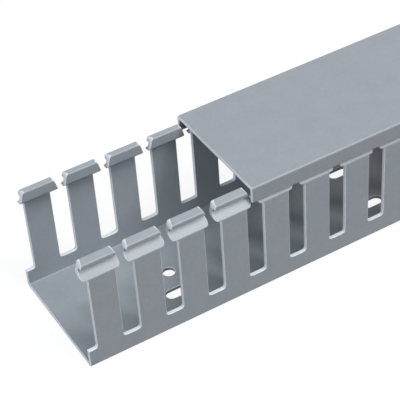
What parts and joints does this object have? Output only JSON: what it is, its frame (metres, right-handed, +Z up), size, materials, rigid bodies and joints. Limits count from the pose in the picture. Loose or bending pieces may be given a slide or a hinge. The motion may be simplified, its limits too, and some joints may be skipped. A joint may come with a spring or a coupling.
{
  "type": "slotted wire duct",
  "caption": "Open-slot wiring duct: a U-shaped channel with punched fingers along both walls, fixing holes in its base, and a clip-on cover slid part of the way along it.",
  "frame": {"origin": "middle of the channel's bottom face, half way along the channel and between its walls", "axes": "+X along the duct, from the end with bare fingers towards the end that the cover overhangs; +Z up, from the base to the cover; +Y across, to the far wall"},
  "size_m": [1.0786, 0.0586, 0.056],
  "materials": {
    "channel_pvc": "satin",
    "cover_pvc": "satin"
  },
  "bodies": {
    "channel": {"duct_channel": "channel_pvc"},
    "cover": {"cover": "cover_pvc"}
  },
  "joints": [
    {"name": "cover_slide", "type": "slide", "parent": "channel", "child": "cover", "axis": [1, 0, 0], "range_m": [-0.0786, 0.4214]}
  ]
}
